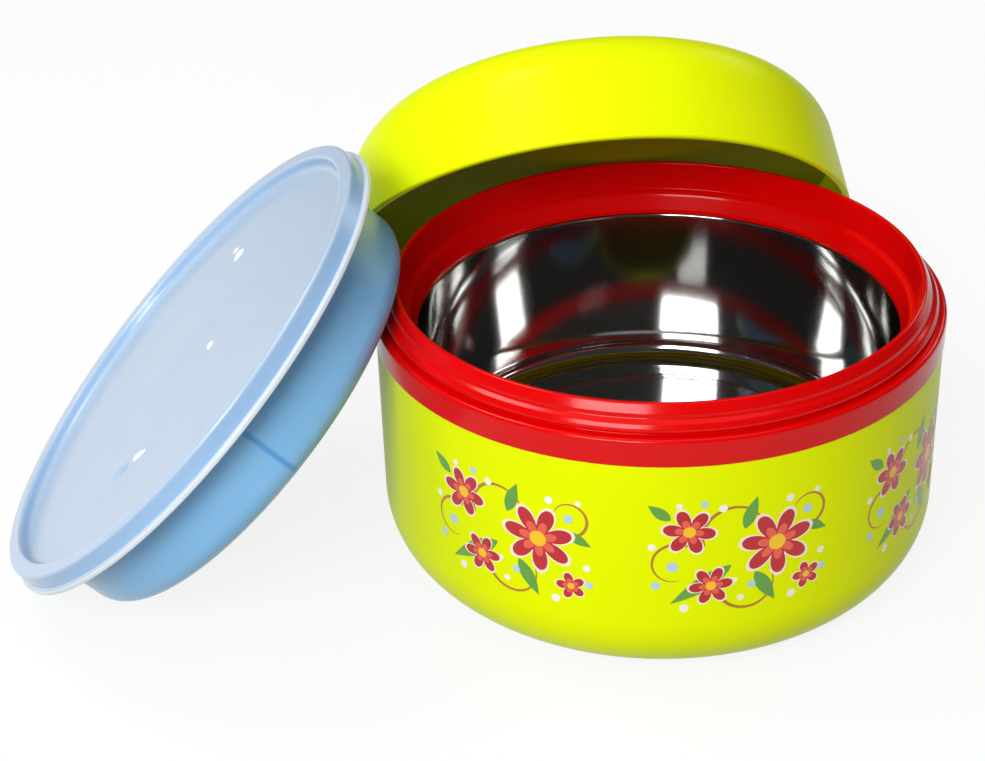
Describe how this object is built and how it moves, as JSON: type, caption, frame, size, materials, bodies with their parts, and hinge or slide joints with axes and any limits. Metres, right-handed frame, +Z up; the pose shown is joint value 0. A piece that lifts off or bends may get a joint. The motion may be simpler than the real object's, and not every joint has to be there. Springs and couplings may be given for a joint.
{
  "type": "insulated serving pot",
  "caption": "Round insulated serving pot shown opened, with a steel-lined bowl, a banded collar, a lid leaning behind it and a covered shallow tray leaning at its side.",
  "frame": {"origin": "centre of the pot's foot, on the surface it stands on", "axes": "+Z up along the pot's axis, -Y towards the front of the pot, -X towards the leaning tray and +Y towards the leaning lid"},
  "size_m": [0.253, 0.2241, 0.1261],
  "materials": {
    "shell_plastic": "glossy moulded polypropylene",
    "foam": "matt foam",
    "steel": "mirror-polished stainless steel",
    "collar_plastic": "glossy moulded polypropylene",
    "plug_plastic": "satin moulded polypropylene",
    "tray_plastic": "translucent glossy polypropylene",
    "clear_plastic": "frosty translucent polypropylene"
  },
  "bodies": {
    "pot": {"outer_shell": "shell_plastic", "shell_foam": "foam", "inner_bowl": "steel", "collar": "collar_plastic", "base_plug": "plug_plastic"},
    "lid": {"lid_shell": "shell_plastic", "lid_foam": "foam", "lid_liner": "shell_plastic", "lid_plug": "plug_plastic"},
    "tray": {"tray": "tray_plastic"},
    "tray_lid": {"tray_lid": "clear_plastic"}
  },
  "joints": [
    {"name": "lid_lift", "type": "slide", "parent": "pot", "child": "lid", "axis": [0, 0, 1], "range_m": [0, 0.15]},
    {"name": "tray_lift", "type": "slide", "parent": "pot", "child": "tray", "axis": [0, 0, 1], "range_m": [0, 0.15]},
    {"name": "tray_lid_off", "type": "slide", "parent": "tray", "child": "tray_lid", "axis": [-0.699, -0.0883, 0.7096], "range_m": [0, 0.06]}
  ]
}
